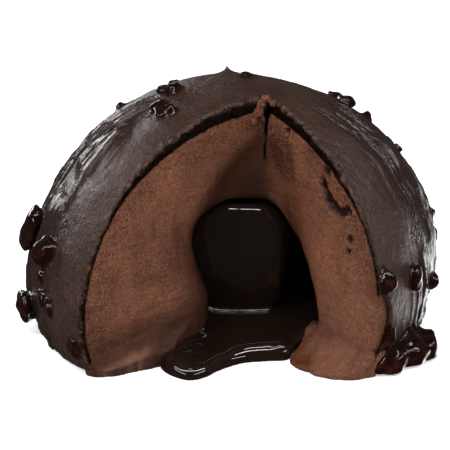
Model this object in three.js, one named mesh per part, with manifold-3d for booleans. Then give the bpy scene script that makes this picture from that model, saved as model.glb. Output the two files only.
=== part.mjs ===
// A chocolate truffle with a slice cut out of its front: a thin dark coating with nut nibs under it,
// a thick milk chocolate mousse, and a molten dark centre that has run out through the slice.
// Millimetres, +Z up. The origin is under the dome's axis, on the table, and the slice opens towards -Y.
import * as THREE from "three";
import { mergeVertices } from "three/addons/utils/BufferGeometryUtils.js";
import Module from "manifold-3d";

const wasm = await Module();
wasm.setup();

const degrees = Math.PI / 180;

// The dome: an upright ellipse of revolution cut off flat at the table.
const domeRadius = 40;
const domeHeight = 49.3;
const widestLevel = 10.4; // height of the dome's widest level
const domeRoundness = 2.03; // 2 is a true ellipse
const domeDrift = 1.4; // how far the upper dome has settled towards +X
const driftLevel = 30; // where the drift is complete
const footTuck = 0.042; // share of the radius that the foot draws in
const footTuckHeight = 4;
const handWobble = 0.35; // how far the hand-made surface wanders in and out

// The layers, from outside in.
const coatingThickness = 1.3;
const layerGap = 0.3;
const coatingHem = 0.4; // the coating ends this far above the table

// The slice: two upright cuts that meet in a line behind the front.
const sliceTip = { x: 7.1, y: -7.3 };
const sliceLeftAngle = 58.3 * degrees; // from -Y towards -X
const sliceRightAngle = 44.2 * degrees; // from -Y towards +X
const sliceReach = 70;

// The hollow that the molten centre left: an egg that leans to the left as it rises.
const hollowRadius = 16.6;
const hollowWaist = 15.7; // level of its widest part
const hollowTop = 38.4;
const hollowFloor = 1.6;
const hollowPeak = 1.5; // 2 is an elliptical crown, less is more pointed
const hollowNarrowing = 0.105; // share of the radius lost at the floor
const hollowAxis = { x: 6.0, y: -4.7, level: 18, lean: -0.27 };

// The molten centre: a sagging ball that stands in its own pool.
const ballRadius = 9.6;
const ballCentre = { x: 2.3, y: 0, z: 14.9 };
const ballSag = 0.26; // share of the radius that its lower half loses
const poolRimHeight = 2.2; // where it has stopped on the table
const poolDeepHeight = 4.8; // in the hollow
const poolRise = { from: -25, to: -11 }; // the stretch along Y where it deepens

// The melted foot of the mousse beside the pool.
const smearRimHeight = 0.9;
const smearRootHeight = 4.2;
const smearRootReach = 4.5; // how far from the cut face the foot has thinned out
const hemRootHeight = 2.4;

// Nibs: where they lie as seen from the middle of the dome's widest level, azimuth from -Y towards +X and
// rise above the horizontal, in degrees, then width, length up the dome and thickness in millimetres.
const nibs = [
  { azimuth: -84, rise: 15, size: [6.6, 8.8, 4.6], turn: 12 },
  { azimuth: -67, rise: 14, size: [5.6, 6.4, 3.8], turn: -8 },
  { azimuth: -80, rise: -6, size: [6.0, 6.2, 4.4], turn: 30 },
  { azimuth: -66, rise: 7.5, size: [2.2, 2.4, 1.8], turn: 0 },
  { azimuth: -64, rise: 2, size: [1.9, 3.6, 1.7], turn: 25 },
  { azimuth: -59, rise: 1, size: [1.9, 3.4, 1.6], turn: 30 },
  { azimuth: -47, rise: -7, size: [3.4, 3.6, 1.8], turn: 0 },
  { azimuth: -109, rise: 53, size: [1.8, 1.8, 1.4], turn: 0 },
  { azimuth: -95, rise: 69, size: [3.0, 2.8, 2.6], turn: 10 },
  { azimuth: -86, rise: 72, size: [3.2, 2.9, 2.6], turn: 60 },
  { azimuth: -60, rise: 66, size: [8.0, 6.4, 3.2], turn: 20 },
  { azimuth: 160, rise: 81, size: [4.0, 3.0, 1.2], turn: 80 },
  { azimuth: 101, rise: 57, size: [3.5, 3.6, 3.0], turn: 15 },
  { azimuth: 104, rise: 49, size: [2.4, 2.2, 1.8], turn: 0 },
  { azimuth: 99, rise: 37, size: [1.6, 2.0, 1.4], turn: 0 },
  { azimuth: 90, rise: 18, size: [1.8, 2.2, 1.8], turn: 0 },
  { azimuth: 88, rise: 12, size: [1.6, 2.4, 1.6], turn: 0 },
  { azimuth: 78, rise: 2, size: [2.0, 3.4, 2.4], turn: 0 },
  { azimuth: 60, rise: 9, size: [3.4, 5.2, 2.8], turn: -10 },
];
const edgeNib = { azimuth: 46.5, rise: 12.5, size: [3.8, 4.4, 3.4], turn: -15 };
const chunk = { azimuth: 57, rise: -11, size: [13.2, 9.4, 9.0], turn: 8 };
const drip = { azimuth: 48, rise: -9, size: [4.8, 8.6, 4.2], turn: 12 };

// Where the coating has chipped off beside the right cut, placed as the nibs are.
const chip = { azimuth: 44.5, rise: -1.5, size: [5.0, 14.5, 6.0], turn: -4 };

// Nibs on the side that faces away are scattered evenly.
const scatteredNibs = { seed: 11, count: 15, fromAzimuth: 112, toAzimuth: 262, least: 2.2, most: 5.4 };

// The pulled tip that the dipping tool left on the crown.
const tip = { azimuth: -170, rise: 76, radius: 2.9, height: 1.7 };

// ---------- solids from geometry ----------

function solidOf(geometry) {
  const bare = new THREE.BufferGeometry();
  bare.setAttribute("position", geometry.getAttribute("position"));
  bare.setIndex(geometry.index);
  const merged = mergeVertices(bare, 1e-4);
  const corners = merged.index.array;
  const triangles = [];
  for (let i = 0; i < corners.length; i += 3) {
    const [a, b, c] = corners.slice(i, i + 3);
    if (a !== b && b !== c && c !== a) triangles.push(a, b, c);
  }
  const mesh = new wasm.Mesh({
    numProp: 3,
    vertProperties: merged.getAttribute("position").array,
    triVerts: new Uint32Array(triangles),
  });
  return new wasm.Manifold(mesh);
}

function meshOf(name, solid, material) {
  const cut = solid.getMesh();
  const geometry = new THREE.BufferGeometry();
  geometry.setAttribute("position", new THREE.BufferAttribute(cut.vertProperties, 3));
  geometry.setIndex(new THREE.BufferAttribute(cut.triVerts, 1));
  geometry.computeVertexNormals();
  const mesh = new THREE.Mesh(geometry, material);
  mesh.name = name;
  return mesh;
}

function largestBody(solid) {
  const bodies = solid.decompose();
  return bodies.reduce((best, body) => (body.volume() > best.volume() ? body : best));
}

// Moves every vertex of a geometry by a function that changes the vector it is given.
function reshape(geometry, change) {
  const places = geometry.getAttribute("position");
  const at = new THREE.Vector3();
  for (let i = 0; i < places.count; i++) {
    at.fromBufferAttribute(places, i);
    change(at);
    places.setXYZ(i, at.x, at.y, at.z);
  }
  return geometry;
}

// A body of revolution about +Z from [radius, level] pairs that run upwards along its outside.
function turned(profile, segments) {
  const points = profile.map(([radius, level]) => new THREE.Vector2(Math.max(radius, 0), level));
  return new THREE.LatheGeometry(points, segments).rotateX(Math.PI / 2);
}

function smoothStep(from, to, value) {
  return THREE.MathUtils.smoothstep(value, from, to);
}

// ---------- the dome and its layers ----------

function domeRadiusAt(level, inset) {
  const height = Math.abs(level - widestLevel) / (domeHeight - widestLevel - inset);
  const share = Math.max(1 - height ** domeRoundness, 0) ** (1 / domeRoundness);
  return (domeRadius - inset) * share * (1 - footTuck * Math.exp(-level / footTuckHeight));
}

// The hand-made wander and the drift, the same for every layer, so that the layers stay parallel.
function settle(at) {
  const azimuth = Math.atan2(at.x, -at.y);
  const out = Math.hypot(at.x, at.y);
  const wave = Math.sin(3 * azimuth + 0.6 + at.z / 21) + 0.6 * Math.sin(5 * azimuth - at.z / 13);
  const share = out > 1 ? (handWobble * wave * Math.min(out / domeRadius, 1)) / out : 0;
  at.x += at.x * share + domeDrift * smoothStep(0, driftLevel, at.z);
  at.y += at.y * share;
}

function domeSolid(inset, bottom, rings = 18, segments = 48) {
  const crown = domeHeight - inset;
  const profile = [[0, bottom]];
  for (let ring = 0; ring < rings; ring++) {
    const turn = (ring / rings) * 90 * degrees;
    const level = bottom + (crown - bottom) * Math.sin(turn) ** 1.25;
    profile.push([domeRadiusAt(level, inset), level]);
  }
  profile.push([0, crown]);
  return solidOf(reshape(turned(profile, segments), settle));
}

// The slice as a prism. Clearance moves both cut faces inwards.
function sliceSolid(clearance) {
  const left = new THREE.Vector2(-Math.sin(sliceLeftAngle), -Math.cos(sliceLeftAngle));
  const right = new THREE.Vector2(Math.sin(sliceRightAngle), -Math.cos(sliceRightAngle));
  const setBack = clearance / Math.sin(sliceLeftAngle + sliceRightAngle);
  const start = new THREE.Vector2(sliceTip.x, sliceTip.y)
    .addScaledVector(left, setBack)
    .addScaledVector(right, setBack);
  const outline = new THREE.Shape([
    start,
    start.clone().addScaledVector(left, sliceReach),
    start.clone().addScaledVector(right, sliceReach),
  ]);
  const depth = domeHeight + 20;
  const prism = new THREE.ExtrudeGeometry(outline, { depth, bevelEnabled: false });
  return solidOf(prism.translate(0, 0, -10));
}

// ---------- the hollow ----------

function hollowRadiusAt(level, clearance) {
  const above = Math.max((level - hollowWaist) / (hollowTop - clearance - hollowWaist), 0);
  const below = Math.max((hollowWaist - level) / hollowWaist, 0);
  const share = Math.max(1 - above ** hollowPeak, 0) ** (1 / hollowPeak);
  return (hollowRadius - clearance) * share * (1 - hollowNarrowing * below ** 1.5);
}

function hollowSolid(clearance, rings = 13, segments = 32) {
  const floor = hollowFloor + clearance;
  const top = hollowTop - clearance;
  const profile = [[0, floor]];
  for (let ring = 0; ring < rings; ring++) {
    const level = floor + (top - floor) * Math.sin((ring / rings) * 90 * degrees);
    profile.push([hollowRadiusAt(level, clearance), level]);
  }
  profile.push([0, top]);
  const geometry = reshape(turned(profile, segments), (at) => {
    at.x += hollowAxis.x + hollowAxis.lean * (at.z - hollowAxis.level);
    at.y += hollowAxis.y;
  });
  return solidOf(geometry);
}

// ---------- low mounds on the table ----------

// A flat-bottomed mound: an outline round a centre, as a closed smooth curve, and its height at any point.
function moundSolid(outline, centre, heightAt, segments = 60) {
  const curve = new THREE.CatmullRomCurve3(
    outline.map(([x, y]) => new THREE.Vector3(x, y, 0)),
    true,
    "centripetal",
  );
  const rim = curve.getPoints(segments);
  const roundedRim = [
    [1 - 0.02, 0],
    [1, 0.4],
    [1 - 0.02, 0.75],
    [1 - 0.06, 0.94],
    [0.8, 1],
    [0.45, 1],
  ];
  const unit = turned([[0, 0], ...roundedRim, [0, 1]], segments);
  const geometry = reshape(unit, (at) => {
    const share = Math.hypot(at.x, at.y);
    const turn = (Math.atan2(at.x, -at.y) / (2 * Math.PI) + 1) % 1;
    const edge = rim[Math.round(turn * segments) % segments];
    const x = centre[0] + (edge.x - centre[0]) * share;
    const y = centre[1] + (edge.y - centre[1]) * share;
    at.set(x, y, at.z * heightAt(x, y));
  });
  return solidOf(geometry);
}

// How far a point lies in front of a cut face, and how far along it from the slice's tip.
function fromCut(x, y, angle, side) {
  const dx = x - sliceTip.x;
  const dy = y - sliceTip.y;
  return {
    along: side * Math.sin(angle) * dx - Math.cos(angle) * dy,
    front: -side * Math.cos(angle) * dx - Math.sin(angle) * dy,
  };
}

function poolHeightAt(x, y) {
  const rise = smoothStep(poolRise.from, poolRise.to, y);
  return poolRimHeight + (poolDeepHeight - poolRimHeight) * rise;
}

function smearHeightAt(x, y) {
  const { front } = fromCut(x, y, sliceRightAngle, 1);
  const root = Math.exp(-Math.max(front, 0) / (smearRootReach / 2));
  return smearRimHeight + (smearRootHeight - smearRimHeight) * root;
}

function hemHeightAt(x, y) {
  const { front } = fromCut(x, y, sliceLeftAngle, -1);
  const root = Math.exp(-Math.max(front, 0));
  return smearRimHeight + (hemRootHeight - smearRimHeight) * root;
}

// Outlines on the table, run anticlockwise from above. Behind the cut faces they only need to reach in.
const poolOutline = [
  [-13.6, -23.4],
  [-12.6, -26.8],
  [-9.4, -29.1],
  [-5.8, -29.4],
  [-2.4, -26.2],
  [2.6, -21.8],
  [8.6, -20.9],
  [11.6, -20.2],
  [13.2, -17.4],
  [22, -10],
  [24, 6],
  [8, 16],
  [-10, 12],
  [-16, -4],
  [-20, -17],
];
const smearOutline = [
  [11.5, -16],
  [11.6, -20.4],
  [13.2, -24.6],
  [17.0, -28.1],
  [22.0, -29.4],
  [26.4, -28.2],
  [30.0, -25.6],
  [26, -20],
  [18, -12],
];
const hemOutline = [
  [-27, -25.4],
  [-25.2, -28.0],
  [-22.0, -27.7],
  [-17.6, -25.6],
  [-13.2, -23.0],
  [-12.6, -20.6],
  [-18, -19],
];

// ---------- nibs ----------

// A point on the dome's outside in a direction from the middle of its widest level, with the outward normal.
function onDome(azimuth, rise) {
  const place = (a, r) => {
    const flat = Math.cos(r) / domeRadius;
    const up = Math.abs(Math.sin(r)) / (domeHeight - widestLevel);
    const reach = (flat ** domeRoundness + up ** domeRoundness) ** (-1 / domeRoundness);
    const level = Math.max(widestLevel + reach * Math.sin(r), 0);
    const out = domeRadiusAt(level, 0);
    const at = new THREE.Vector3(out * Math.sin(a), -out * Math.cos(a), level);
    settle(at);
    return at;
  };
  const step = 0.5 * degrees;
  const across = place(azimuth + step, rise).sub(place(azimuth - step, rise)).normalize();
  const up = place(azimuth, rise + step).sub(place(azimuth, rise - step)).normalize();
  return { at: place(azimuth, rise), across, up, out: new THREE.Vector3().crossVectors(across, up) };
}

// A rounded crag: a ball of small facets pushed in and out, then stretched to size.
function nibSolid({ azimuth, rise, size, turn }, seed, detail, roughness = 0.16, sink = 0.3) {
  const geometry = reshape(new THREE.IcosahedronGeometry(1, detail), (at) => {
    const bump =
      Math.sin(2.9 * at.x + 1.7 * seed) * Math.sin(3.3 * at.y + 2.3 * seed) +
      0.6 * Math.sin(5.1 * at.z + 3.1 * seed + at.x);
    at.multiplyScalar(1 + roughness * bump);
    at.set((at.x * size[0]) / 2, (at.y * size[1]) / 2, (at.z * size[2]) / 2);
  });
  const seat = onDome(azimuth * degrees, rise * degrees);
  const basis = new THREE.Matrix4().makeBasis(seat.across, seat.up, seat.out);
  const centre = seat.at.addScaledVector(seat.out, (0.5 - sink) * size[2]);
  geometry.rotateZ(turn * degrees).applyMatrix4(basis).translate(centre.x, centre.y, centre.z);
  return solidOf(geometry);
}

// A small fixed-seed generator, so that the scatter is the same every time.
function randomFrom(seed) {
  let state = seed >>> 0;
  return () => {
    state = (Math.imul(state, 1664525) + 1013904223) >>> 0;
    return state / 2 ** 32;
  };
}

// Evenly spread places by the golden angle, each with its own small shift and size.
function scattered({ seed, count, fromAzimuth, toAzimuth, least, most }) {
  const random = randomFrom(seed);
  const goldenShare = 0.618034;
  return Array.from({ length: count }, (_, i) => {
    const width = least + (most - least) * random() ** 2;
    return {
      azimuth: fromAzimuth + (toAzimuth - fromAzimuth) * ((i * goldenShare + 0.08 * random()) % 1),
      rise: -4 + 66 * ((i + random()) / count),
      size: [width, width * (0.9 + 0.5 * random()), width * 0.6],
      turn: 360 * random(),
    };
  });
}

function tipSolid() {
  const { at, out } = onDome(tip.azimuth * degrees, tip.rise * degrees);
  const profile = [
    [0, -1.5],
    [tip.radius, -1.5],
    [tip.radius, -0.3],
    [tip.radius * 0.5, tip.height * 0.22],
    [tip.radius * 0.25, tip.height * 0.6],
    [0, tip.height],
  ];
  const lean = new THREE.Quaternion().setFromUnitVectors(new THREE.Vector3(0, 0, 1), out);
  const geometry = turned(profile, 14).applyQuaternion(lean).translate(at.x, at.y, at.z);
  return solidOf(geometry);
}

// ---------- the three pieces ----------

const coatingInset = coatingThickness;
const mousseInset = coatingThickness + layerGap;
const insideOfCoating = domeSolid(coatingInset, -1);
const wholeMousse = domeSolid(mousseInset, 0);

function coatingSolid() {
  const facetFor = ({ size }) => [2.3, 5].filter((limit) => Math.max(...size) > limit).length;
  const raised = [
    ...nibs.map((nib, i) => nibSolid(nib, i, facetFor(nib))),
    ...scattered(scatteredNibs).map((nib, i) => nibSolid(nib, 30 + i, facetFor(nib))),
    tipSolid(),
  ];
  const overCut = [
    nibSolid(edgeNib, 5, 2),
    nibSolid(chunk, 21, 3, 0.2, 0.38),
    nibSolid(drip, 8, 2, 0.12, 0.42),
  ];
  const aboveTable = solidOf(
    new THREE.BoxGeometry(4 * domeRadius, 4 * domeRadius, 2 * domeHeight).translate(
      0, 0, domeHeight + coatingHem,
    ),
  );
  const crust = wasm.Manifold.union([domeSolid(0, 0), ...raised])
    .subtract(sliceSolid(0))
    .subtract(nibSolid(chip, 3, 2, 0.1, 0.5));
  const whole = wasm.Manifold.union([crust, ...overCut]).subtract(insideOfCoating);
  return largestBody(whole.intersect(aboveTable));
}

// A melted foot counts only in front of its cut face, clear of the coating, or where the mousse is.
function footSolid(outline, centre, heightAt) {
  const room = wasm.Manifold.union([sliceSolid(layerGap), wholeMousse]);
  return moundSolid(outline, centre, heightAt, 36).intersect(room);
}

const smear = footSolid(smearOutline, [19, -21], smearHeightAt);
const hem = footSolid(hemOutline, [-19.5, -22.4], hemHeightAt);

function mousseSolid(coating) {
  const body = wholeMousse.subtract(sliceSolid(0)).subtract(hollowSolid(0));
  return largestBody(wasm.Manifold.union([body, smear, hem]).subtract(coating));
}

function ballSolid(rings = 12, segments = 26) {
  const bottom = ballCentre.z - poolDeepHeight / 2;
  const profile = [[0, -bottom]];
  for (let ring = 0; ring < rings; ring++) {
    const level = -bottom + (bottom + ballRadius) * Math.sin((ring / rings) * 90 * degrees);
    const above = Math.max(level, 0) / ballRadius;
    const below = Math.max(-level, 0) / bottom;
    const share = Math.sqrt(1 - above ** 2) * (1 - ballSag * below ** 2);
    profile.push([ballRadius * share, level]);
  }
  profile.push([0, ballRadius]);
  const geometry = turned(profile, segments).translate(ballCentre.x, ballCentre.y, ballCentre.z);
  return solidOf(geometry);
}

// A mound spread by the layer gap on every side and below the table, for cutting a neighbour clear of it.
function clearanceFrom(solid) {
  const ways = [[1, 0, -1], [-1, 0, -1], [0, 1, -1], [0, -1, -1], [0, 0, 1]];
  return wasm.Manifold.union(ways.map((way) => solid.translate(way.map((step) => step * layerGap))));
}

function fillingSolid() {
  const pool = moundSolid(poolOutline, [0, -10], poolHeightAt, 56);
  const room = wasm.Manifold.union([sliceSolid(layerGap), hollowSolid(layerGap)]);
  const filling = wasm.Manifold.union([pool, ballSolid()]).intersect(room);
  return largestBody(filling.subtract(clearanceFrom(smear)).subtract(clearanceFrom(hem)));
}

const coatingMaterial = new THREE.MeshStandardMaterial({ color: 0x3a2f2b, roughness: 0.38 });
const mousseMaterial = new THREE.MeshStandardMaterial({ color: 0x6e4735, roughness: 0.7 });
const fillingMaterial = new THREE.MeshStandardMaterial({ color: 0x1a0f0b, roughness: 0.08 });

const coating = coatingSolid();
const truffle = new THREE.Group();
truffle.add(
  meshOf("coating", coating, coatingMaterial),
  meshOf("mousse", mousseSolid(coating), mousseMaterial),
  meshOf("molten_centre", fillingSolid(), fillingMaterial),
);

export default truffle;
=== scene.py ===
import math

import bpy
import numpy as np
from mathutils import Matrix, Vector


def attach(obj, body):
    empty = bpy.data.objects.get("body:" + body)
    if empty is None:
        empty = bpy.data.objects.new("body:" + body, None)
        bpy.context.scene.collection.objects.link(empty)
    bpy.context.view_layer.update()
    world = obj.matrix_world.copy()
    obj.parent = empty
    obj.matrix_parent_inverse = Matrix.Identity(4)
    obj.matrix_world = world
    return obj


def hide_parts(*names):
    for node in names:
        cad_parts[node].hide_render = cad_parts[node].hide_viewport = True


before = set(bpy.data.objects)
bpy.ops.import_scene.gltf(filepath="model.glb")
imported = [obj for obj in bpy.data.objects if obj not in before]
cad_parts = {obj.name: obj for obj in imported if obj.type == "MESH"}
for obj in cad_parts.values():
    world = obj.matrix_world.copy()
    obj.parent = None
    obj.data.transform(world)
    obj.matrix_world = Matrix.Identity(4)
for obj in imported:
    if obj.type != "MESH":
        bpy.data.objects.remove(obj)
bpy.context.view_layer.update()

MM = 0.001

# ---------- sizes of the part, in millimetres, the main ones as in its solids ----------

DOME_RADIUS = 40.0
DOME_HEIGHT = 49.3
WIDEST_LEVEL = 10.4
DOME_ROUNDNESS = 2.03
DOME_DRIFT = 1.4
DRIFT_LEVEL = 30.0
FOOT_TUCK = 0.042
FOOT_TUCK_HEIGHT = 4.0
HAND_WOBBLE = 0.35

COATING_SIDE = 0.9  # thickness on the flanks
COATING_CROWN = 2.5  # and where it pooled on the crown
COATING_THICKENS = (28, 47)  # between these levels
COATING_HEM = 0.4
LAYER_GAP = 0.06  # what shows between coating and mousse is only a hairline

SLICE_TIP = (7.1, -7.3)
SLICE_LEFT = math.radians(58.3)
SLICE_RIGHT = math.radians(44.2)

# The hollow: level, middle x and y, radius, and how softly the cut faces round into it there.
HOLLOW = np.array((
    (0, 6.2, -4.7, 16.2, 2.5), (5, 6.4, -4.7, 16, 2.5), (9.8, 6.6, -4.6, 15, 3),
    (12.7, 5.4, -4.4, 14.4, 4.5), (15.7, 4, -4.6, 13.2, 6), (19, 2.6, -6.2, 11, 7),
    (21.5, 2.5, -8.2, 9.8, 7), (24, 2.2, -9.8, 8.9, 6.4), (26.6, 2.8, -11.2, 6.9, 6.6),
    (30, 3.8, -11, 5.9, 6.5), (34, 4.8, -10.1, 4.4, 6), (37.2, 5.7, -9.4, 2.8, 5),
    (38.6, 6.2, -8.6, 0.9, 4), (40, 6.4, -8.2, -2.5, 4), (60, 6.4, -8.2, -30, 4),
))
BALL_SEAT = 0.15  # the room that the core left round itself when it set
BALL_SEAT_SOFT = 1.5
HOLLOW_FLOOR = 1.6

# The bank on the hollow's left, which held the core: its middle, half sizes, and by level how far
# it has drawn back to the left.
BANK_CENTRE = (-12, -9)
BANK_SIZE = (8, 9)
BANK_DRAW = np.array(((0, 0), (9.4, 0), (12.4, 1), (15.7, 2.3), (19, 3.6), (22, 5.5), (60, 40)))

# The core: a ball that the knife has halved, with its flat side to the front.
BALL_CENTRE = (2.35, -6.9, 17)
BALL_SIZE = (9.6, 9.6, 9.7)  # half its width, its depth behind and its height above the middle
BALL_BOTTOM = 12.5  # how far below its centre it stands in the pool
BALL_SAG = 0.24
BALL_OUTLINE = 2.8  # seen from the front: 2 is round, more is squarer
BALL_FRONT = -7.6
BALL_FRONT_BULGE = 26.0
BALL_EDGE = 1.7
BALL_SPREAD = 1.25  # how much wider its left half has spread, up to the mousse
POOL_RIM_HEIGHT = 2.5
POOL_DEEP_HEIGHT = 4.8
POOL_RISE = (-24, -8)
POOL_RIM_ROUND = 2.3

# The melted mousse on the table: the smear right of the pool and the hem left of it.
FOOT_RIM_HEIGHT = 0.5
FOOT_EDGE = 0.35
SMEAR_ROOT_HEIGHT = 5.0
SMEAR_REACH = 3.0
FOLD = (17.6, -13.1, 0.21)  # a point of the fold in the smear, and how much it slants
HEM_ROOT_HEIGHT = 3.4
HEM_REACH = 1.6
HEM_LIP_RISE = 2.0
HEM_LIP_RUN = (-23, -13)
HEM_WALL_RISE = 2.8  # where the hem runs up into the bank beside the pool
HEM_WALL_RUN = (-13, -6)

POOL_OUTLINE = (
    (-13.5, -20.8), (-12.5, -24.6), (-10.3, -27.6), (-7.2, -29.4), (-4.3, -28),
    (-1.6, -24.8), (2.4, -21.6), (6.5, -20.6), (11, -20), (13.4, -17),
    (22, -10), (24, 6), (8, 16), (-10, 12), (-16, -4), (-19, -14),
)
SMEAR_OUTLINE = (
    (16.8, -11), (13.9, -17), (11.6, -20.6), (12.9, -23.9), (17, -27.9),
    (22, -29.4), (26.4, -28.2), (30, -25.6), (26, -20), (19, -11),
)
HEM_OUTLINE = (
    (-27, -25.4), (-25.2, -28), (-22, -27.7), (-17.6, -25.6), (-13.4, -23.3), (-11.4, -22.2),
    (-9.4, -19.6), (-7.4, -16.4), (-5.6, -12.6), (-9, -8), (-18, -16),
)

# Nut nibs under the coating: azimuth from -Y towards +X and rise from the middle of the widest
# level in degrees, then width, length up the dome and thickness, and the turn in degrees.
NIBS = (
    (-84, 15, (6.6, 8.8, 4.6), 12), (-67, 14, (5.6, 6.4, 3.8), -8),
    (-80, -6, (6, 6.2, 4.4), 30), (-66, 7.5, (2.2, 2.4, 1.8), 0),
    (-64, 2, (1.9, 3.6, 1.7), 25), (-59, 1, (1.9, 3.4, 1.6), 30),
    (-47, -7, (3.4, 3.6, 1.8), 0), (-109, 53, (1.8, 1.8, 1.4), 0),
    (-95, 69, (2.6, 2.4, 2.2), 10), (-86, 72, (2.8, 2.5, 2.2), 60),
    (-63, 66, (4, 3.6, 2.2), 20), (160, 81, (4, 3, 1.2), 80),
    (101, 57, (3.5, 3.6, 3), 15), (104, 49, (2.4, 2.2, 1.8), 0),
    (99, 37, (1.6, 2, 1.4), 0), (90, 18, (1.8, 2.2, 1.8), 0),
    (88, 12, (1.6, 2.4, 1.6), 0), (78, 2, (2, 3.4, 2.4), 0),
    (60, 9, (3.4, 5.2, 2.8), -10), (-52, 66.5, (2.6, 2.2, 2.2), 0),
    (-56, 64, (3.2, 2, 1.6), -20), (-92, 73.5, (2.2, 1.6, 1.8), 0),
)
# The nib on the right cut's edge, the chunk at its foot with the lobe and the drip beside it, and
# the chip missing from the coating there.
EDGE_NIB = (45.6, 12.4, (3, 4.2, 3.2), -15)
CHUNK = (61.2, -13.4, (13.2, 13, 11.4), 14)
LOBE = (50.8, -12.5, (7.6, 7.6, 5.6), 20)
DRIP = (49.5, -6, (2.6, 8, 2.4), 14)
CHIP = (44.5, -1.5, (5, 14.5, 6), -4)
# Nibs on the far side, which the photo does not show, spread over it in golden steps.
SCATTER = {
    "seed": 11, "count": 15, "azimuth": (112, 262), "rise": (-4, 62), "size": (2.2, 5.4),
    "step": 0.618034,
}
# The tip that was pulled up on the crown.
TIP = {
    "azimuth": -170, "rise": 76, "radius": 2.3, "slimmer": 0.8, "end_radius": 0.12,
    "height": 1.95, "taper": 2.2,
}

# Ridges down the flanks, sunk to lie level with the dome on average, and drawn out up it.
WRINKLE_HEIGHT = 1.0
WRINKLE_SINK = 0.45
WRINKLE_SWAY = 2.4
WRINKLE_DRAW = 0.12
FINE_DRAW = 0.2
# The flanks, in radians: azimuths between which they begin and grow weaker, and where they end.
WRINKLED = {"front": (0.92, 1.2), "back": (1.45, 1.85), "weaker": 0.72, "top": (0.95, 1.3)}
STREAKED = {"front": (0.95, 1.25), "back": (1.6, 2), "weaker": 0.5, "top": (0.9, 1.3)}
DOME_COURSE = 42.0  # millimetres up the dome for each radian of rise

# Marks of the knife and of bubbles in the right cut face: from and to, along the cut and up, then
# radius and depth.
MARKS = (
    ((15.5, 37.7), (15.7, 37.2), 1.2, 1), ((13.8, 38.1), (13.8, 38.1), 0.6, 0.5),
    ((14.4, 35.9), (14.4, 35.9), 0.6, 0.5), ((14.6, 35), (16, 32.7), 1.2, 1.2),
    ((16, 32.7), (17.6, 31), 1.5, 1.5), ((17.6, 31), (19, 30.2), 1.35, 1.4),
    ((19, 30.2), (21.1, 31.1), 1.1, 1.1), ((19.8, 32.1), (19.8, 32.1), 0.5, 0.4),
    ((21.8, 25.4), (21.8, 25.6), 1, 0.9), ((21.3, 23.1), (21.3, 23.1), 0.75, 0.7),
    ((13.7, 21.6), (15.3, 20), 0.35, 0.35), ((5.8, 43.3), (5.8, 43.3), 0.7, 0.6),
)

# The crack at the slice's tip and the crumbs left hanging there: middle and radius of each.
CRACK_INWARD = (0.123, 0.992)
CRACK_LEVELS = (35.5, 48)
CRACK_DEPTH = 2.4
CRACK_HALF_WIDTH = 0.13
CRACK_GAPE = (0.4, 45.8, 1.6)  # how much wider it gapes, at what level and over what height
CRUMBS = (
    (6.4, -8, 47.3, 1.15), (5.5, -8.4, 45.7, 1.05), (4.7, -8.9, 44.3, 0.8),
    (7.2, -8.1, 48.3, 0.9), (6, -8.2, 43, 0.55), (8.3, -8.6, 47.6, 0.7),
)

# Ripples in the pool's left corner and at the ball's foot: middle, half length and half width,
# turn in degrees and height.
RIPPLES = (
    (-9.5, -22.9, 2.6, 0.5, 42, 0.42), (-7.2, -24.5, 1.2, 0.65, 70, 0.46),
    (-6.9, -19.4, 1.5, 0.5, 25, 0.26), (-10.9, -26, 1.9, 0.5, -50, 0.36),
    (0.6, -10.6, 1.5, 0.35, -65, 0.2), (9.4, -19.6, 1.6, 0.6, 20, 0.22),
)

CRUMBLE_DEPTH = 0.75  # how much the coating's rim has crumbled away on the crown
CRUMBLE_LEVELS = (24, 38)
SPONGE = (9.4, -9.6, 37.5)  # the middle of a patch of larger bubbles beside the crack
STAIN_AND_SHADE_LEVEL = 21.0  # how high the hollow's walls are painted near black: sauce staining, with painted shade deep in the hollow
DRIPPED = (28.5, -26.3)  # where sauce has dripped onto the right foot

# Each piece: its grid's step and box, and the rough distances its surface lies between, if used.
PIECES = {
    "coating_shell": (0.36, ((-42.5, -31, 0.3), (42.5, 41, 50.6)), (-3.3, 7.5)),
    "mousse_body": (0.34, ((-40, -31, 0), (40, 39, 48.5)), None),
    "molten_core": (0.25, ((-16, -31, 0), (25, 14, 26)), None),
}
GRID_PARTS = 24  # a grid is worked out in so many parts, to spare memory
MOST_TRIANGLES = 190000
SETTLE_ROUNDS = 3
SETTLE_REACH = 0.8  # of the grid's step, in one round

# ---------- the room, in metres and degrees ----------

ROOM_GLOW = 0.06
TABLE_GLOW = 3.3
# Which ways the pale table behind the part is seen: by axis, where it begins and is full.
TABLE_BOUNDS = (("X", 0.1, 0.42), ("Y", 0.3, 0.56), ("Z", -0.14, -0.32))
FLOOR_HALF = 3.0
FLOOR_DROP = 0.00005
AIM = (0, 0, 0.02)
# Strip lights by name: width, glow and points, each as the turn from the front towards +X, the
# height over the table and the distance.
STRIPS = {
    "over": (0.034, 17, ((-60, 72, 0.62), (0, 87, 0.58), (60, 72, 0.62))),
    "front": (0.048, 27, (
        (-79, 43, 0.86), (-53, 53, 0.72), (0, 59, 0.67), (53, 53, 0.72), (87, 40, 0.91),
    )),
    "low_left": (0.026, 20, ((-76, 24, 0.65), (-60, 24, 0.65), (-44, 24, 0.65))),
    "low_right": (0.026, 20, ((36, 24, 0.65), (57, 24, 0.65), (78, 24, 0.65))),
    "crown_back": (0.12, 1.9, ((-158, 5, 0.8), (-173, 5, 0.8))),
    "left_back": (0.13, 8, ((-125, 15, 0.75), (-142, 12, 0.78), (-160, 9, 0.8))),
}
FILL_SIZE = (0.5, 0.5)
FILLS = {"left_fill": ((-0.6, -0.36, 0.36), 1.7), "right_fill": ((0.6, -0.35, 0.5), 0.3)}
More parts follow.
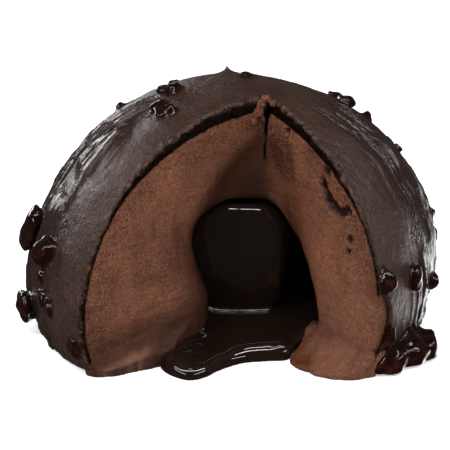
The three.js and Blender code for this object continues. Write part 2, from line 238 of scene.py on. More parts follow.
# The photo's camera, as fitted: its focal length is 2041.2 pixels of a picture 450 wide.
CAMERA = {
    "sensor_width": 36, "lens": 2041.2 / 450 * 36, "shift_x": -0.008, "shift_y": -0.0191,
    "clip_start": 0.01, "clip_end": 10,
}
CAMERA_PLACE = (0, -0.37659, 0.15684)
CAMERA_LOOKS_DOWN = 19.7


# ---------- noise and blending ----------

CORNERS = np.array([(a, b, c) for a in (0, 1) for b in (0, 1) for c in (0, 1)])


def cell_values(cell, seed):
    """A fixed random value from -1 to 1 for each lattice cell."""
    h = np.uint32((seed * 0x9E3779B1) & 0xFFFFFFFF)
    for place, prime in zip(cell, (0x8DA6B343, 0xD8163841, 0xCB1AB31F)):
        h = h ^ place.astype(np.uint32) * np.uint32(prime)
    for shift, prime in ((15, 0x2C1B3C6D), (12, 0x297A2D39)):
        h ^= h >> np.uint32(shift)
        h *= np.uint32(prime)
    h ^= h >> np.uint32(15)
    return h.astype(np.float32) * np.float32(2 / 4294967295) - np.float32(1)


def noise(x, y, z, size, seed):
    """Smooth noise from -1 to 1 whose lumps are about size across."""
    cells, weights = [], []
    for values in (x, y, z):
        scaled = np.asarray(values, np.float32) / np.float32(size)
        low = np.floor(scaled)
        part = scaled - low
        cells.append(low.astype(np.int64))
        weights.append(part * part * part * (part * (part * 6 - 15) + 10))
    total = 0
    for corner in CORNERS:
        u, v, w = (share if one else 1 - share for share, one in zip(weights, corner))
        cell = [low + one for low, one in zip(cells, corner)]
        total = total + u * v * w * cell_values(cell, seed)
    return total


def ease(start, end, value):
    """Goes smoothly from 0 at the start value to 1 at the end value."""
    t = np.clip((value - start) / (end - start), 0, 1)
    return t * t * (3 - 2 * t)


def smooth_min(a, b, k):
    h = np.clip(0.5 + 0.5 * (b - a) / k, 0, 1)
    return b + (a - b) * h - k * h * (1 - h)


def smooth_max(a, b, k):
    return -smooth_min(-a, -b, k)


def bell(value, middle, width):
    return np.exp(-(((value - middle) / width) ** 2))


def rounded_max(a, b, radius):
    """The larger of two distances, with a round edge of that radius where they meet."""
    outside = np.hypot(np.maximum(a + radius, 0), np.maximum(b + radius, 0))
    return np.minimum(np.maximum(a + radius, b + radius), 0) + outside - radius


# ---------- the dome, the slice and the hollow ----------

def wobble(azimuth, out, z):
    """How far the dome's slow waves stand out, as the solids have them."""
    wave = np.sin(3 * azimuth + 0.6 + z / 21) + 0.6 * np.sin(5 * azimuth - z / 13)
    return HAND_WOBBLE * wave * np.minimum(out / DOME_RADIUS, 1)


def around_dome(x, y, z):
    """Azimuth and distance from the dome's settled axis."""
    x0 = x - DOME_DRIFT * ease(0, DRIFT_LEVEL, z)
    return np.arctan2(x0, -y), np.hypot(x0, y)


def dome_distance(x, y, z):
    azimuth, out = around_dome(x, y, z)
    out = out - wobble(azimuth, out, z)
    tuck = 1 - FOOT_TUCK * np.exp(-np.maximum(z, 0) / FOOT_TUCK_HEIGHT)
    wide = DOME_RADIUS * tuck
    high = DOME_HEIGHT - WIDEST_LEVEL
    p = DOME_ROUNDNESS
    across = np.maximum(out / wide, 1e-4)
    up = np.maximum(np.abs(z - WIDEST_LEVEL) / high, 1e-4)
    k = (across**p + up**p) ** (1 / p)
    slope = k ** (1 - p) * np.hypot(across ** (p - 1) / wide, up ** (p - 1) / high)
    return (k - 1) / slope


def cut_faces(x, y):
    """How far a point lies in front of the left and the right cut face, into the open slice."""
    dx, dy = x - SLICE_TIP[0], y - SLICE_TIP[1]
    left = math.cos(SLICE_LEFT) * dx - math.sin(SLICE_LEFT) * dy
    right = -math.cos(SLICE_RIGHT) * dx - math.sin(SLICE_RIGHT) * dy
    return left, right


def along_cuts(x, y):
    """How far a point lies from the slice's tip along the left and the right cut."""
    dx, dy = x - SLICE_TIP[0], y - SLICE_TIP[1]
    left = -math.sin(SLICE_LEFT) * dx - math.cos(SLICE_LEFT) * dy
    right = math.sin(SLICE_RIGHT) * dx - math.cos(SLICE_RIGHT) * dy
    return left, right


def hollow_courses():
    """The hollow's table, filled in at every step up and smoothed."""
    step, reach, spread = 0.1, 30, 12.0
    fine = np.arange(0, HOLLOW[-1, 0], step)
    window = np.exp(-0.5 * (np.arange(-reach, reach + 1) / spread) ** 2)
    window /= window.sum()
    courses = []
    for column in HOLLOW.T[1:]:
        padded = np.pad(np.interp(fine, HOLLOW[:, 0], column), reach, mode="edge")
        courses.append(np.convolve(padded, window, "valid"))
    slope = np.gradient(courses[2], step)
    return fine, *courses, slope


LEVELS, HOLLOW_X, HOLLOW_Y, HOLLOW_R, HOLLOW_SOFT, HOLLOW_SLOPE = hollow_courses()


def hollow_distance(x, y, z):
    out = np.hypot(x - np.interp(z, LEVELS, HOLLOW_X), y - np.interp(z, LEVELS, HOLLOW_Y))
    slope = np.interp(z, LEVELS, HOLLOW_SLOPE)
    side = (out - np.interp(z, LEVELS, HOLLOW_R)) / np.sqrt(1 + slope**2)
    side = smooth_min(side, ball_distance(x, y, z, False) - BALL_SEAT, BALL_SEAT_SOFT)
    return np.maximum(side, HOLLOW_FLOOR - z)


def bank_distance(x, y, z):
    draw = np.interp(z, BANK_DRAW[:, 0], BANK_DRAW[:, 1])
    u = (x - BANK_CENTRE[0] + draw) / BANK_SIZE[0]
    v = (y - BANK_CENTRE[1]) / BANK_SIZE[1]
    return (np.hypot(u, v) - 1) * BANK_SIZE[0]


def coating_thickness(z):
    return COATING_SIDE + (COATING_CROWN - COATING_SIDE) * ease(*COATING_THICKENS, z)


# ---------- mounds on the table ----------

def between(first, second, start, end, t):
    return (end - t) / (end - start) * first + (t - start) / (end - start) * second


def smooth_loop(points, steps=14):
    """A closed centripetal Catmull-Rom curve through the points."""
    pts = np.array(points, float)
    curve = []
    for i in range(len(pts)):
        near = [pts[(i + n) % len(pts)] for n in (-1, 0, 1, 2)]
        knots = [0.0]
        for a, b in zip(near, near[1:]):
            knots.append(knots[-1] + np.linalg.norm(b - a) ** 0.5)
        for t in np.linspace(knots[1], knots[2], steps, endpoint=False):
            a = [between(near[n], near[n + 1], knots[n], knots[n + 1], t) for n in (0, 1, 2)]
            b = [between(a[n], a[n + 1], knots[n], knots[n + 2], t) for n in (0, 1)]
            curve.append(between(*b, knots[1], knots[2], t))
    return np.array(curve)


class Outline:
    """A closed outline on the table that gives the distance to it, negative inside."""

    STEP = 0.2
    MARGIN = 8.0

    def __init__(self, points):
        loop = smooth_loop(points)
        self.low = loop.min(0) - self.MARGIN
        counts = np.ceil((loop.max(0) + self.MARGIN - self.low) / self.STEP).astype(int) + 1
        xs, ys = (self.low[n] + self.STEP * np.arange(counts[n]) for n in (0, 1))
        gx, gy = np.meshgrid(xs, ys, indexing="ij")
        nearest = np.full(gx.shape, 1e9)
        inside = np.zeros(gx.shape, bool)
        for a, b in zip(loop, np.roll(loop, -1, 0)):
            d = b - a
            t = np.clip(((gx - a[0]) * d[0] + (gy - a[1]) * d[1]) / (d @ d), 0, 1)
            gap = (gx - a[0] - t * d[0]) ** 2 + (gy - a[1] - t * d[1]) ** 2
            nearest = np.minimum(nearest, gap)
            if a[1] != b[1]:
                crosses = (gy < a[1]) != (gy < b[1])
                inside ^= crosses & (gx < a[0] + (gy - a[1]) * d[0] / d[1])
        self.table = np.where(inside, -1, 1) * np.sqrt(nearest)

    def distance(self, x, y):
        t = self.table
        u = np.clip((x - self.low[0]) / self.STEP, 0, t.shape[0] - 1.001)
        v = np.clip((y - self.low[1]) / self.STEP, 0, t.shape[1] - 1.001)
        i, j = u.astype(int), v.astype(int)
        a, b = u - i, v - j
        low = t[i, j] * (1 - a) + t[i + 1, j] * a
        high = t[i, j + 1] * (1 - a) + t[i + 1, j + 1] * a
        return low * (1 - b) + high * b


POOL = Outline(POOL_OUTLINE)
SMEAR = Outline(SMEAR_OUTLINE)
HEM = Outline(HEM_OUTLINE)


# ---------- nibs ----------

def on_dome(azimuth, rise):
    """A point on the dome in that direction and its frame: across, up and out, as unit rows."""
    def place(a, r):
        flat = math.cos(r) / DOME_RADIUS
        up = abs(math.sin(r)) / (DOME_HEIGHT - WIDEST_LEVEL)
        reach = (flat**DOME_ROUNDNESS + up**DOME_ROUNDNESS) ** (-1 / DOME_ROUNDNESS)
        level = max(WIDEST_LEVEL + reach * math.sin(r), 0)
        height = abs(level - WIDEST_LEVEL) / (DOME_HEIGHT - WIDEST_LEVEL)
        share = max(1 - height**DOME_ROUNDNESS, 0) ** (1 / DOME_ROUNDNESS)
        out = DOME_RADIUS * share * (1 - FOOT_TUCK * math.exp(-level / FOOT_TUCK_HEIGHT))
        out += float(wobble(a, out, level))
        drift = DOME_DRIFT * float(ease(0, DRIFT_LEVEL, level))
        return np.array([out * math.sin(a) + drift, -out * math.cos(a), level])

    a, r, step = math.radians(azimuth), math.radians(rise), math.radians(0.5)
    ways = place(a + step, r) - place(a - step, r), place(a, r + step) - place(a, r - step)
    across, up = (way / np.linalg.norm(way) for way in ways)
    return place(a, r), np.array([across, up, np.cross(across, up)])


def in_frame(x, y, z, seat, axes):
    return axes @ np.stack([x - seat[0], y - seat[1], z - seat[2]])


class Nib:
    """A rounded crag seated in the dome's surface, with lumps and a grain on it."""

    LUMPS = 0.07
    GRAIN = 0.05
    REACH = 1.35  # of its half size, and that margin: how far off it still counts
    MARGIN = 2.5

    def __init__(self, spec, seed, roughness=0.16, sink=0.3):
        azimuth, rise, size, turn = spec
        seat, axes = on_dome(azimuth, rise)
        self.half = np.array(size) / 2
        self.centre = seat + axes[2] * (0.5 - sink) * size[2]
        c, s = math.cos(math.radians(turn)), math.sin(math.radians(turn))
        self.axes = np.array([c * axes[0] + s * axes[1], c * axes[1] - s * axes[0], axes[2]])
        self.seed = seed
        self.roughness = roughness
        self.reach = float(self.half.max()) * self.REACH + self.MARGIN

    def near(self, x, y, z):
        """The points close enough for the nib to count, and how far each is from it."""
        gap = (x - self.centre[0]) ** 2 + (y - self.centre[1]) ** 2 + (z - self.centre[2]) ** 2
        idx = np.nonzero(gap < self.reach**2)[0]
        return idx, self.distance(x[idx], y[idx], z[idx])

    def local(self, x, y, z):
        """The point along the nib's own axes, in its half sizes."""
        return in_frame(x, y, z, self.centre, self.axes) / self.half[:, None]

    def distance(self, x, y, z):
        u = self.local(x, y, z)
        length = np.maximum(np.sqrt((u * u).sum(0)), 1e-4)
        v = u / length
        s = self.seed
        bump = np.sin(2.9 * v[0] + 1.7 * s) * np.sin(3.3 * v[1] + 2.3 * s)
        bump = bump + 0.6 * np.sin(5.1 * v[2] + 3.1 * s + v[0])
        stretch = np.sqrt(((u * self.half[:, None]) ** 2).sum(0)) / length
        return (length - 1 - self.roughness * bump) * stretch


class Crag(Nib):
    """A broken piece with flat facets."""

    LUMPS = 0.05
    GRAIN = 0.015
    RADIUS = 1.02  # of its half size, where no facet cuts it
    ROUNDING = 0.08
    FACETS = (
        ((0.1, 0.42, 0.9), 0.72), ((0.75, 0.35, 0.55), 0.8), ((-0.62, 0.55, 0.56), 0.78),
        ((0.93, -0.25, 0.27), 0.84), ((-0.9, -0.1, 0.42), 0.82), ((0.25, -0.85, 0.46), 0.78),
        ((-0.45, -0.75, 0.48), 0.8), ((0.05, 0.99, 0.1), 0.84), ((-0.15, -0.35, 0.92), 0.8),
        ((0.55, 0.8, -0.22), 0.86), ((0.62, -0.62, -0.48), 0.85),
    )

    def distance(self, x, y, z):
        u = self.local(x, y, z)
        d = np.sqrt((u * u).sum(0)) - self.RADIUS
        for normal, reach in self.FACETS:
            facet = normal[0] * u[0] + normal[1] * u[1] + normal[2] * u[2] - reach
            d = smooth_max(d, facet, self.ROUNDING)
        d = d + 0.15 * noise(x, y, z, 3.2, self.seed) + 0.04 * noise(x, y, z, 1.3, self.seed + 1)
        return d * float(self.half.min())


def scattered_nibs():
    """Nibs spread over the far side, in a fixed random draw."""
    state = SCATTER["seed"]
    made = []

    def draw():
        nonlocal state
        state = (state * 1664525 + 1013904223) % 2**32
        return state / 2**32

    low, high = SCATTER["azimuth"]
    lowest, highest = SCATTER["rise"]
    least, most = SCATTER["size"]
    for i in range(SCATTER["count"]):
        width = least + (most - least) * draw() ** 2
        azimuth = low + (high - low) * ((i * SCATTER["step"] + 0.08 * draw()) % 1)
        rise = lowest + (highest - lowest) * ((i + draw()) / SCATTER["count"])
        length = width * (0.9 + 0.5 * draw())
        made.append((azimuth, rise, (width, length, width * 0.6), 360 * draw()))
    return made


ON_SHELL = [Nib(spec, i) for i, spec in enumerate(NIBS)]
ON_SHELL += [Nib(spec, 30 + i) for i, spec in enumerate(scattered_nibs())]
OVER_CUT = [
    Nib(EDGE_NIB, 5), Crag(CHUNK, 21, 0, 0.27), Nib(LOBE, 9, 0.14, 0.3), Nib(DRIP, 8, 0.12, 0.42),
]
CHIPPED = Nib(CHIP, 3, 0.1, 0.5)
TIP_SEAT, TIP_AXES = on_dome(TIP["azimuth"], TIP["rise"])


# ---------- the coating ----------

def dome_course(x, y, z):
    """Millimetres round the dome and up it, then azimuth and rise in radians."""
    azimuth, out = around_dome(x, y, z)
    rise = np.arctan2(z - WIDEST_LEVEL, out)
    return azimuth * DOME_RADIUS, rise * DOME_COURSE, azimuth, rise


def on_flanks(azimuth, rise, zone):
    """How much a place belongs to the flanks, and how far it lies below the crown, from 0 to 1."""
    turn = np.abs(azimuth)
    flank = ease(*zone["front"], turn)
    flank = flank * (1 - zone["weaker"] * ease(*zone["back"], turn))
    return flank, 1 - ease(*zone["top"], rise)


def ridge_lines(across, up, size, seed, sharpness):
    """Ridges from 0 to 1 along the lines where noise passes through zero."""
    return np.maximum(1 - np.abs(noise(across, up, 0 * up, size, seed)) * sharpness, 0)


def flow_wrinkles(x, y, z):
    """Ridges that the coating left as it ran down, strongest on the flanks."""
    across, up, azimuth, rise = dome_course(x, y, z)
    swayed = across + WRINKLE_SWAY * noise(across, up, 0 * z, 11, 3)
    coarse = ridge_lines(swayed, up * WRINKLE_DRAW, 2.9, 5, 1.9)
    fine = ridge_lines(swayed, up * FINE_DRAW + 40, 1.15, 6, 2.4)
    patches = ease(-0.5, 0.35, noise(x, y, z, 8, 7))
    flank, low = on_flanks(azimuth, rise, WRINKLED)
    ridges = (coarse**1.3 + 0.22 * fine) * patches
    return WRINKLE_HEIGHT * (ridges - WRINKLE_SINK) * low * (0.1 + 0.9 * flank)


def coating_relief(x, y, z):
    slow = 0.24 * noise(x, y, z, 12, 1) + 0.12 * noise(x, y, z, 4.5, 2)
    grain = 0.045 * noise(x, y, z, 1.5, 4) + 0.03 * noise(x, y, z, 0.8, 8)
    return slow + grain + flow_wrinkles(x, y, z)


def tip_distance(x, y, z):
    across, along, up = in_frame(x, y, z, TIP_SEAT, TIP_AXES)
    share = np.clip(up / TIP["height"], 0, 1)
    radius = TIP["radius"] * (1 - share) ** TIP["taper"] * TIP["slimmer"] + TIP["end_radius"]
    return np.maximum((np.hypot(across, along) - radius) * 0.6, up - TIP["height"])


def lumps_into(field, lumps, x, y, z, k, fine, weight=None):
    """Joins lumps to a field with a fillet k, and notes in weight how near each is."""
    for lump in lumps:
        idx, d = lump.near(x, y, z)
        if fine:
            near = x[idx], y[idx], z[idx]
            scale = float(lump.half.min())
            d = d - lump.LUMPS * min(scale, 2) * noise(*near, 0.7 + 0.35 * scale, lump.seed + 50)
            d = d - lump.GRAIN * noise(*near, 0.5, lump.seed + 90)
        if weight is not None:
            weight[idx] = np.maximum(weight[idx], ease(0.75, 0, d))
        field[idx] = smooth_min(field[idx], d, k)
    return field


def coating_field(x, y, z, fine=True):
    base = dome_distance(x, y, z)
    outer = base - (coating_relief(x, y, z) if fine else flow_wrinkles(x, y, z))
    outer = lumps_into(outer, ON_SHELL, x, y, z, 0.9, fine)
    outer = smooth_min(outer, tip_distance(x, y, z), 1.1)
    cut = np.minimum(*cut_faces(x, y))
    if fine:
        cut = cut + 0.24 * noise(x, y, z, 2.4, 12) + 0.42 * noise(x, y, z, 0.9, 13)
        crumbs = np.maximum(noise(x, y, z, 1.1, 14), 0) * ease(-1.5, -0.3, cut)
        outer = outer - CRUMBLE_DEPTH * crumbs * ease(*CRUMBLE_LEVELS, z)
    body = smooth_max(outer, cut, 0.12)
    idx, chip = CHIPPED.near(x, y, z)
    body[idx] = smooth_max(body[idx], -chip, 0.3)
    body = lumps_into(body, OVER_CUT, x, y, z, 0.7, fine)
    body = np.maximum(body, -(base + coating_thickness(z)))
    return np.maximum(body, COATING_HEM - z)


# ---------- the mousse ----------

def feet_distances(x, y, z):
    """The distances to the smear and to the hem, which both rise towards the cut faces."""
    left, right = cut_faces(x, y)
    root = np.exp(-np.maximum(right, 0) / SMEAR_REACH)
    height = FOOT_RIM_HEIGHT + (SMEAR_ROOT_HEIGHT - FOOT_RIM_HEIGHT) * root
    smear = rounded_max(SMEAR.distance(x, y), z - height, FOOT_EDGE)
    root = np.exp(-np.maximum(left, 0) / HEM_REACH)
    lip = FOOT_RIM_HEIGHT + HEM_LIP_RISE * ease(*HEM_LIP_RUN, x)
    lip = lip + HEM_WALL_RISE * ease(*HEM_WALL_RUN, x)
    height = lip + (HEM_ROOT_HEIGHT - FOOT_RIM_HEIGHT) * root
    return smear, rounded_max(HEM.distance(x, y), z - height, FOOT_EDGE)


def fold_distance(x, y):
    """How far a point lies right of the fold between the smear's thin tongue and its root."""
    return x - FOLD[0] - FOLD[2] * (y - FOLD[1])


def crack_distance(x, y, z):
    dx, dy = x - SLICE_TIP[0], y - SLICE_TIP[1]
    inward = CRACK_INWARD[0] * dx + CRACK_INWARD[1] * dy
    across = CRACK_INWARD[1] * dx - CRACK_INWARD[0] * dy
    across = across + 0.55 * noise(z, 0 * z, 0 * z, 4.6, 26)
    more, level, height = CRACK_GAPE
    wide = CRACK_HALF_WIDTH + more * bell(z, level, height)
    wide = wide + 0.06 * noise(z, 0 * z, 0 * z, 0.9, 34)
    ends = np.maximum(CRACK_LEVELS[0] - z, z - CRACK_LEVELS[1])
    return np.maximum(np.maximum(np.abs(across) - wide, inward - CRACK_DEPTH), ends)


def crumb_distance(x, y, z):
    d = 9 + 0 * z
    for cx, cy, cz, radius in CRUMBS:
        d = np.minimum(d, np.sqrt((x - cx) ** 2 + (y - cy) ** 2 + (z - cz) ** 2) - radius)
    return d + 0.25 * noise(x, y, z, 0.9, 27)


def mark_depths(along, z):
    """How deep the marks go into the right cut face."""
    depth = 0 * z
    ragged = 0.35 * noise(along, z, 0 * z, 1.1, 37)
    for (a0, z0), (a1, z1), radius, deep in MARKS:
        da, dz = a1 - a0, z1 - z0
        t = np.clip(((along - a0) * da + (z - z0) * dz) / max(da * da + dz * dz, 1e-6), 0, 1)
        gap = np.hypot(along - a0 - t * da, z - z0 - t * dz) + ragged
        depth = np.maximum(depth, deep * ease(radius, 0.35 * radius, gap))
    return depth


def mousse_field(x, y, z, fine=True):
    shell = dome_distance(x, y, z) + coating_thickness(z)
    base = shell + LAYER_GAP
    left, right = cut_faces(x, y)
    hollow = hollow_distance(x, y, z)
    if fine:
        slow = 0.3 * noise(x, y, z, 11, 21) + 0.12 * noise(x, y, z * 0.5, 3.2, 22)
        grain = 0.05 * noise(x, y, z, 0.9, 23)
        along_left, along_right = along_cuts(x, y)
        strokes = noise(along_left * 0.22, z + 0.18 * along_left, 0 * z, 1.1, 42)
        left = left + slow + grain + 0.11 * (strokes * ease(26, 12, z))
        right = right + slow + grain + mark_depths(along_right, z)
        hollow = hollow - 0.5 * slow - 0.4 * grain
    cut = smooth_min(left, right, 0.8)
    body = smooth_max(base, cut, 0.3)
    body = smooth_max(body, -hollow, np.interp(z, LEVELS, HOLLOW_SOFT))
    bank = np.maximum(np.maximum(bank_distance(x, y, z), cut + 0.1), base + 3)
    smear, hem = feet_distances(x, y, z)
    if fine:
        bank = bank + 0.5 * slow + 0.4 * grain
        ragged = 0.12 * noise(x, y, z, 2.6, 24) + 0.25 * noise(x, y, 0 * z, 1.5, 29)
        smear = smear + ragged
        hem = hem + ragged + 0.25 * noise(x, y, 0 * z, 1.1, 38)
    body = smooth_min(body, bank, 2.5)
    body = smooth_min(body, smooth_min(smear, hem, 0.5), 2)
    if fine:
        fold = bell(fold_distance(x, y), 0, 0.6) * ease(8, 5, z)
        body = body + 0.65 * (fold * ease(1, 2.5, cut))
    half = coating_thickness(z) / 2
    in_coating = np.maximum(np.abs(shell - half) - half, cut)
    body = np.maximum(body, -(in_coating - LAYER_GAP))
    body = smooth_max(body, -crack_distance(x, y, z), 0.1)
    body = smooth_min(body, crumb_distance(x, y, z), 0.15)
    for lump in OVER_CUT[1:]:
        idx, d = lump.near(x, y, z)
        body[idx] = np.maximum(body[idx], -np.maximum(d - LAYER_GAP, -shell[idx]))
    return np.maximum(body, -z)


# ---------- the molten centre ----------

def ball_distance(x, y, z, fine):
    """The core, which sags below its middle and has its flat side to the front."""
    dx, dy, dz = x - BALL_CENTRE[0], y - BALL_CENTRE[1], z - BALL_CENTRE[2]
    shrink = 1 - BALL_SAG * np.clip(-dz / BALL_BOTTOM, 0, 1) ** 2
    if fine:
        shrink = shrink + 0.012 * noise(x, y, z, 2.4, 31)
    n = BALL_OUTLINE
    wide = np.abs(dx) / (BALL_SIZE[0] * shrink)
    deep = np.maximum(dy, 0) / (BALL_SIZE[1] * shrink)
    high = np.maximum(dz, 0) / (BALL_SIZE[2] * shrink)
    k = (wide**n + deep**n + high**n) ** (1 / n)
    reach = np.sqrt(dx**2 + np.maximum(dy, 0) ** 2 + np.maximum(dz, 0) ** 2)
    body = (k - 1) * np.maximum(reach / np.maximum(k, 1e-3), 3) * 0.95
    hang = np.where(dz > 0, 1, 0.25)
    front = BALL_FRONT - y + (dx**2 + hang * dz**2) / (2 * BALL_FRONT_BULGE)
    return rounded_max(body, front, BALL_EDGE)


def ripple_height(x, y):
    total = 0 * x
    for cx, cy, long, wide, turn, height in RIPPLES:
        c, s = math.cos(math.radians(turn)), math.sin(math.radians(turn))
        u = ((x - cx) * c + (y - cy) * s) / long
        v = ((y - cy) * c - (x - cx) * s) / wide
        total = total + height * np.exp(-(u * u + v * v))
    return total


def molten_field(x, y, z, fine=True):
    room = smooth_min(hollow_distance(x, y, z), -np.minimum(*cut_faces(x, y)), 1.5)
    room = np.maximum(room, -bank_distance(x, y, z)) + 0.05
    edge = POOL.distance(x, y)
    height = POOL_RIM_HEIGHT + (POOL_DEEP_HEIGHT - POOL_RIM_HEIGHT) * ease(*POOL_RISE, y)
    if fine:
        edge = edge + 0.04 * noise(x, y, 0 * z, 2, 33)
        height = height + ripple_height(x, y)
        height = height + 0.07 * noise(x, y, 0 * z, 2.6, 35) * ease(-6, -1.5, edge)
    foot = np.minimum(SMEAR.distance(x, y), HEM.distance(x, y))
    climb = 0.55 * np.exp(np.minimum(room, 0)) + 0.45 * np.exp(-np.maximum(foot, 0) / 0.8)
    if fine:
        height = height + 0.07 * noise(x, y, 0 * z, 5, 32)
    pool = rounded_max(edge, z - height - climb, POOL_RIM_ROUND)
    across = x - BALL_CENTRE[0]
    spread = BALL_CENTRE[0] + np.where(across < 0, across / BALL_SPREAD, across)
    filling = smooth_min(pool, ball_distance(spread, y, z, fine), 1.1)
    filling = np.maximum(filling, room)
    filling = np.maximum(filling, -(np.minimum(*feet_distances(x, y, z)) - 0.08))
    return np.maximum(filling, -z)


# ---------- meshes from fields ----------

EDGES = [(a, a + step) for step in (1, 2, 4) for a in range(8) if not a & step]


def sample_grid(field, box, step, rough, band):
    """Field values on a grid: all of them, or where the rough distance is in the band."""
    axes = [np.arange(low - 2 * step, high + 2.5 * step, step) for low, high in zip(*box)]
    grid = np.stack([g.astype(np.float32).ravel() for g in np.meshgrid(*axes, indexing="ij")])
    values = np.full(grid.shape[1], 9, np.float32)
    for idx in np.array_split(np.arange(len(values)), GRID_PARTS):
        if rough:
            near = rough(*grid[:, idx])
            idx = idx[(near > band[0]) & (near < band[1])]
        if len(idx):
            values[idx] = field(*grid[:, idx], False)
    return axes, values.reshape([len(a) for a in axes])


def surface_net(axes, values):
    """One vertex per crossed cell and one quad per crossed grid edge."""
    inside = values < 0
    n = [s - 1 for s in values.shape]
    count = np.zeros(n, np.int8)
    for a, b, c in CORNERS:
        count += inside[a:a + n[0], b:b + n[1], c:c + n[2]]
    cells = np.argwhere((count > 0) & (count < 8))
    index = np.full(n, -1, np.int32)
    index[tuple(cells.T)] = np.arange(len(cells))
    corner = np.stack([values[tuple((cells + o).T)] for o in CORNERS], 1)
    total = np.zeros((len(cells), 3))
    crossings = np.zeros(len(cells))
    for a, b in EDGES:
        fa, fb = corner[:, a], corner[:, b]
        crossed = (fa < 0) != (fb < 0)
        t = np.where(crossed, fa / np.where(crossed, fa - fb, 1), 0)[:, None]
        total += crossed[:, None] * (CORNERS[a] * (1 - t) + CORNERS[b] * t)
        crossings += crossed
    step = axes[0][1] - axes[0][0]
    vertices = np.array([a[0] for a in axes]) + step * (cells + total / crossings[:, None])
    quads = []
    for axis in range(3):
        first, second = np.delete(inside, -1, axis), np.delete(inside, 0, axis)
        edges = np.argwhere(first != second)
        b, c = (axis + 1) % 3, (axis + 2) % 3
        ok = (edges[:, b] > 0) & (edges[:, c] > 0) & (edges[:, b] < n[b]) & (edges[:, c] < n[c])
        edges = edges[ok]
        outward = first[tuple(edges.T)]
        around = np.zeros((4, 3), int)
        around[:, b], around[:, c] = (0, -1, -1, 0), (0, 0, -1, -1)
        quad = np.stack([index[tuple((edges + shift).T)] for shift in around], 1)
        quad[~outward] = quad[~outward][:, ::-1]
        quads.append(quad)
    return vertices, np.concatenate(quads)


def settle_on(field, v, longest):
    """Moves the points v along the field's slope until they lie on its zero level."""
    step = 0.04
    for _ in range(SETTLE_ROUNDS):
        d = field(*v.T, True)
        slope = [field(*(v + step * way).T, True) - d for way in np.eye(3)]
        slope = np.stack(slope, 1) / step
        size = np.maximum((slope**2).sum(1), 0.15)
        move = -(d / size)[:, None] * slope
        length = np.linalg.norm(move, axis=1)
        move *= np.minimum(1, longest / np.maximum(length, 1e-9))[:, None]
        v = v + move
    return v


def thin_out(obj):
    """Thins an object's mesh to the most triangles that it may have, flattest places first."""
    count = sum(len(p.vertices) - 2 for p in obj.data.polygons)
    if count <= MOST_TRIANGLES:
        return
    thin = obj.modifiers.new("thin", "DECIMATE")
    thin.ratio = MOST_TRIANGLES / count
    graph = bpy.context.evaluated_depsgraph_get()
    slim = bpy.data.meshes.new_from_object(obj.evaluated_get(graph))
    obj.modifiers.clear()
    old = obj.data
    obj.data = slim
    bpy.data.meshes.remove(old)


def link_new(name, data):
    obj = bpy.data.objects.new(name, data)
    bpy.context.scene.collection.objects.link(obj)
    return obj


def mesh_piece(name, field, rough=None):
    step, box, band = PIECES[name]
    axes, values = sample_grid(field, box, step, rough, band)
    vertices, quads = surface_net(axes, values)
    vertices = settle_on(field, vertices, step * SETTLE_REACH)
    vertices[:, 2] = np.maximum(vertices[:, 2], 0)
    mesh = bpy.data.meshes.new(name)
    mesh.from_pydata(vertices * MM, [], quads)
    mesh.validate()
    obj = link_new(name, mesh)
    thin_out(obj)
    obj.data.shade_smooth()
    return obj


def mesh_points(obj):
    flat = np.empty(len(obj.data.vertices) * 3, np.float32)
    obj.data.vertices.foreach_get("co", flat)
    return (flat.reshape(-1, 3) / MM).astype(np.float64).T


def paint(obj, name, values):
    layer = obj.data.attributes.new(name, "FLOAT", "POINT")
    layer.data.foreach_set("value", np.asarray(values, np.float32))


# ---------- materials ----------

